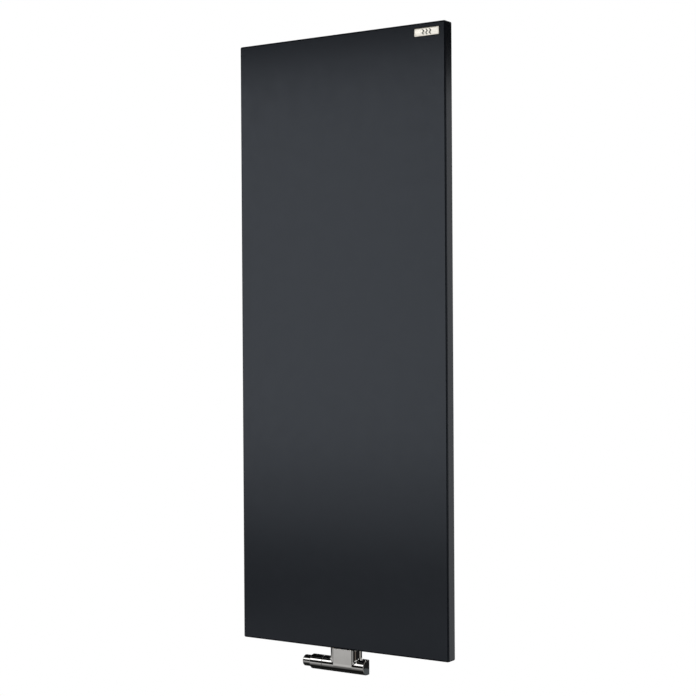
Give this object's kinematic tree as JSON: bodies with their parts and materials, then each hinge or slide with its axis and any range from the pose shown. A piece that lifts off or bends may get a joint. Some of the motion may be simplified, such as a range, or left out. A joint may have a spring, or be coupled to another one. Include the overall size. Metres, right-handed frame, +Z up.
{
  "type": "radiator with valve",
  "caption": "Tall flat-fronted panel radiator in dark powder coat, hung on wall brackets, with a chrome centre-connected thermostatic valve whose head turns, under its lower edge.",
  "frame": {"origin": "in the wall plane, straight behind the middle of the casing's lower edge", "axes": "+Z up along the radiator's height, +Y into the wall, +X to the right for someone who faces the radiator"},
  "size_m": [0.6, 0.0817, 1.5606],
  "materials": {
    "powder_coat": "satin anthracite powder coat with a fine texture",
    "chrome": "polished chrome plate",
    "nickel": "satin nickel plate",
    "brass": "as forged and machined",
    "zinc": "zinc-plated steel",
    "steel": "machined stainless steel",
    "nylon": "moulded, fine-grained",
    "fibre": "pressed fibre sealing washer",
    "rubber": "moulded, matte"
  },
  "bodies": {
    "root": {"casing": "powder_coat", "badge_plate": "nickel", "header_bottom": "powder_coat", "header_top": "powder_coat", "header_cap_bottom_left": "powder_coat", "header_cap_bottom_right": "powder_coat", "header_cap_top_left": "powder_coat", "header_cap_top_right": "powder_coat", "riser_1": "powder_coat", "riser_2": "powder_coat", "riser_3": "powder_coat", "riser_4": "powder_coat", "riser_5": "powder_coat", "riser_6": "powder_coat", "riser_7": "powder_coat", "riser_8": "powder_coat", "flow_divider": "steel", "socket_left": "powder_coat", "socket_right": "powder_coat", "vent_boss": "powder_coat", "vent_plug": "nickel", "lug_top_left": "powder_coat", "bracket_top_left": "zinc", "isolator_top_left": "nylon", "lug_top_right": "powder_coat", "bracket_top_right": "zinc", "isolator_top_right": "nylon", "lug_bottom_left": "powder_coat", "bracket_bottom_left": "zinc", "isolator_bottom_left": "nylon", "lug_bottom_right": "powder_coat", "bracket_bottom_right": "zinc", "isolator_bottom_right": "nylon", "tail_piece_left": "brass", "tail_piece_right": "brass", "union_nut_left": "brass", "union_nut_right": "brass", "gasket_left": "fibre", "gasket_right": "fibre", "valve_body": "brass", "valve_cover": "chrome", "insert_bonnet": "brass", "insert_gland": "nickel", "stem_spring": "steel", "lockshield_bonnet": "nickel", "head_nut": "chrome", "head_base": "nylon"},
    "handwheel": {"handwheel": "chrome", "head_tip": "chrome"},
    "sensor": {"sensor_element": "nylon"},
    "stem": {"valve_stem": "steel", "valve_disc": "rubber"},
    "lockshield_spindle": {"lockshield_spindle": "steel"},
    "lockshield_cone": {"lockshield_cone": "brass"},
    "bleed_screw": {"bleed_screw": "nickel"}
  },
  "joints": [
    {"name": "handwheel_turn", "type": "hinge", "parent": "root", "child": "handwheel", "pos_m": [0, -0.06, -0.0424], "axis": [-1, 0, 0], "range_deg": [0, 300]},
    {"name": "sensor_travel", "type": "slide", "parent": "root", "child": "sensor", "axis": [-1, 0, 0], "range_m": [0, 0.0025]},
    {"name": "stem_lift", "type": "slide", "parent": "root", "child": "stem", "axis": [-1, 0, 0], "range_m": [0, 0.0025]},
    {"name": "lockshield_turn", "type": "hinge", "parent": "root", "child": "lockshield_spindle", "pos_m": [0, -0.06, -0.0424], "axis": [-1, 0, 0], "range_deg": [0, 1080]},
    {"name": "lockshield_cone_travel", "type": "slide", "parent": "root", "child": "lockshield_cone", "axis": [-1, 0, 0], "range_m": [0, 0.0045]},
    {"name": "bleed_turn", "type": "hinge", "parent": "root", "child": "bleed_screw", "pos_m": [0.238, -0.03, 1.4705], "axis": [0, 1, 0], "range_deg": [0, 360]}
  ],
  "couplings": [
    {"joint": "sensor_travel", "follows": "handwheel_turn", "m_per_rad": 0.0004583},
    {"joint": "stem_lift", "follows": "handwheel_turn", "m_per_rad": 0.0004583},
    {"joint": "lockshield_turn", "follows": "lockshield_cone_travel", "rad_per_m": 4188}
  ]
}
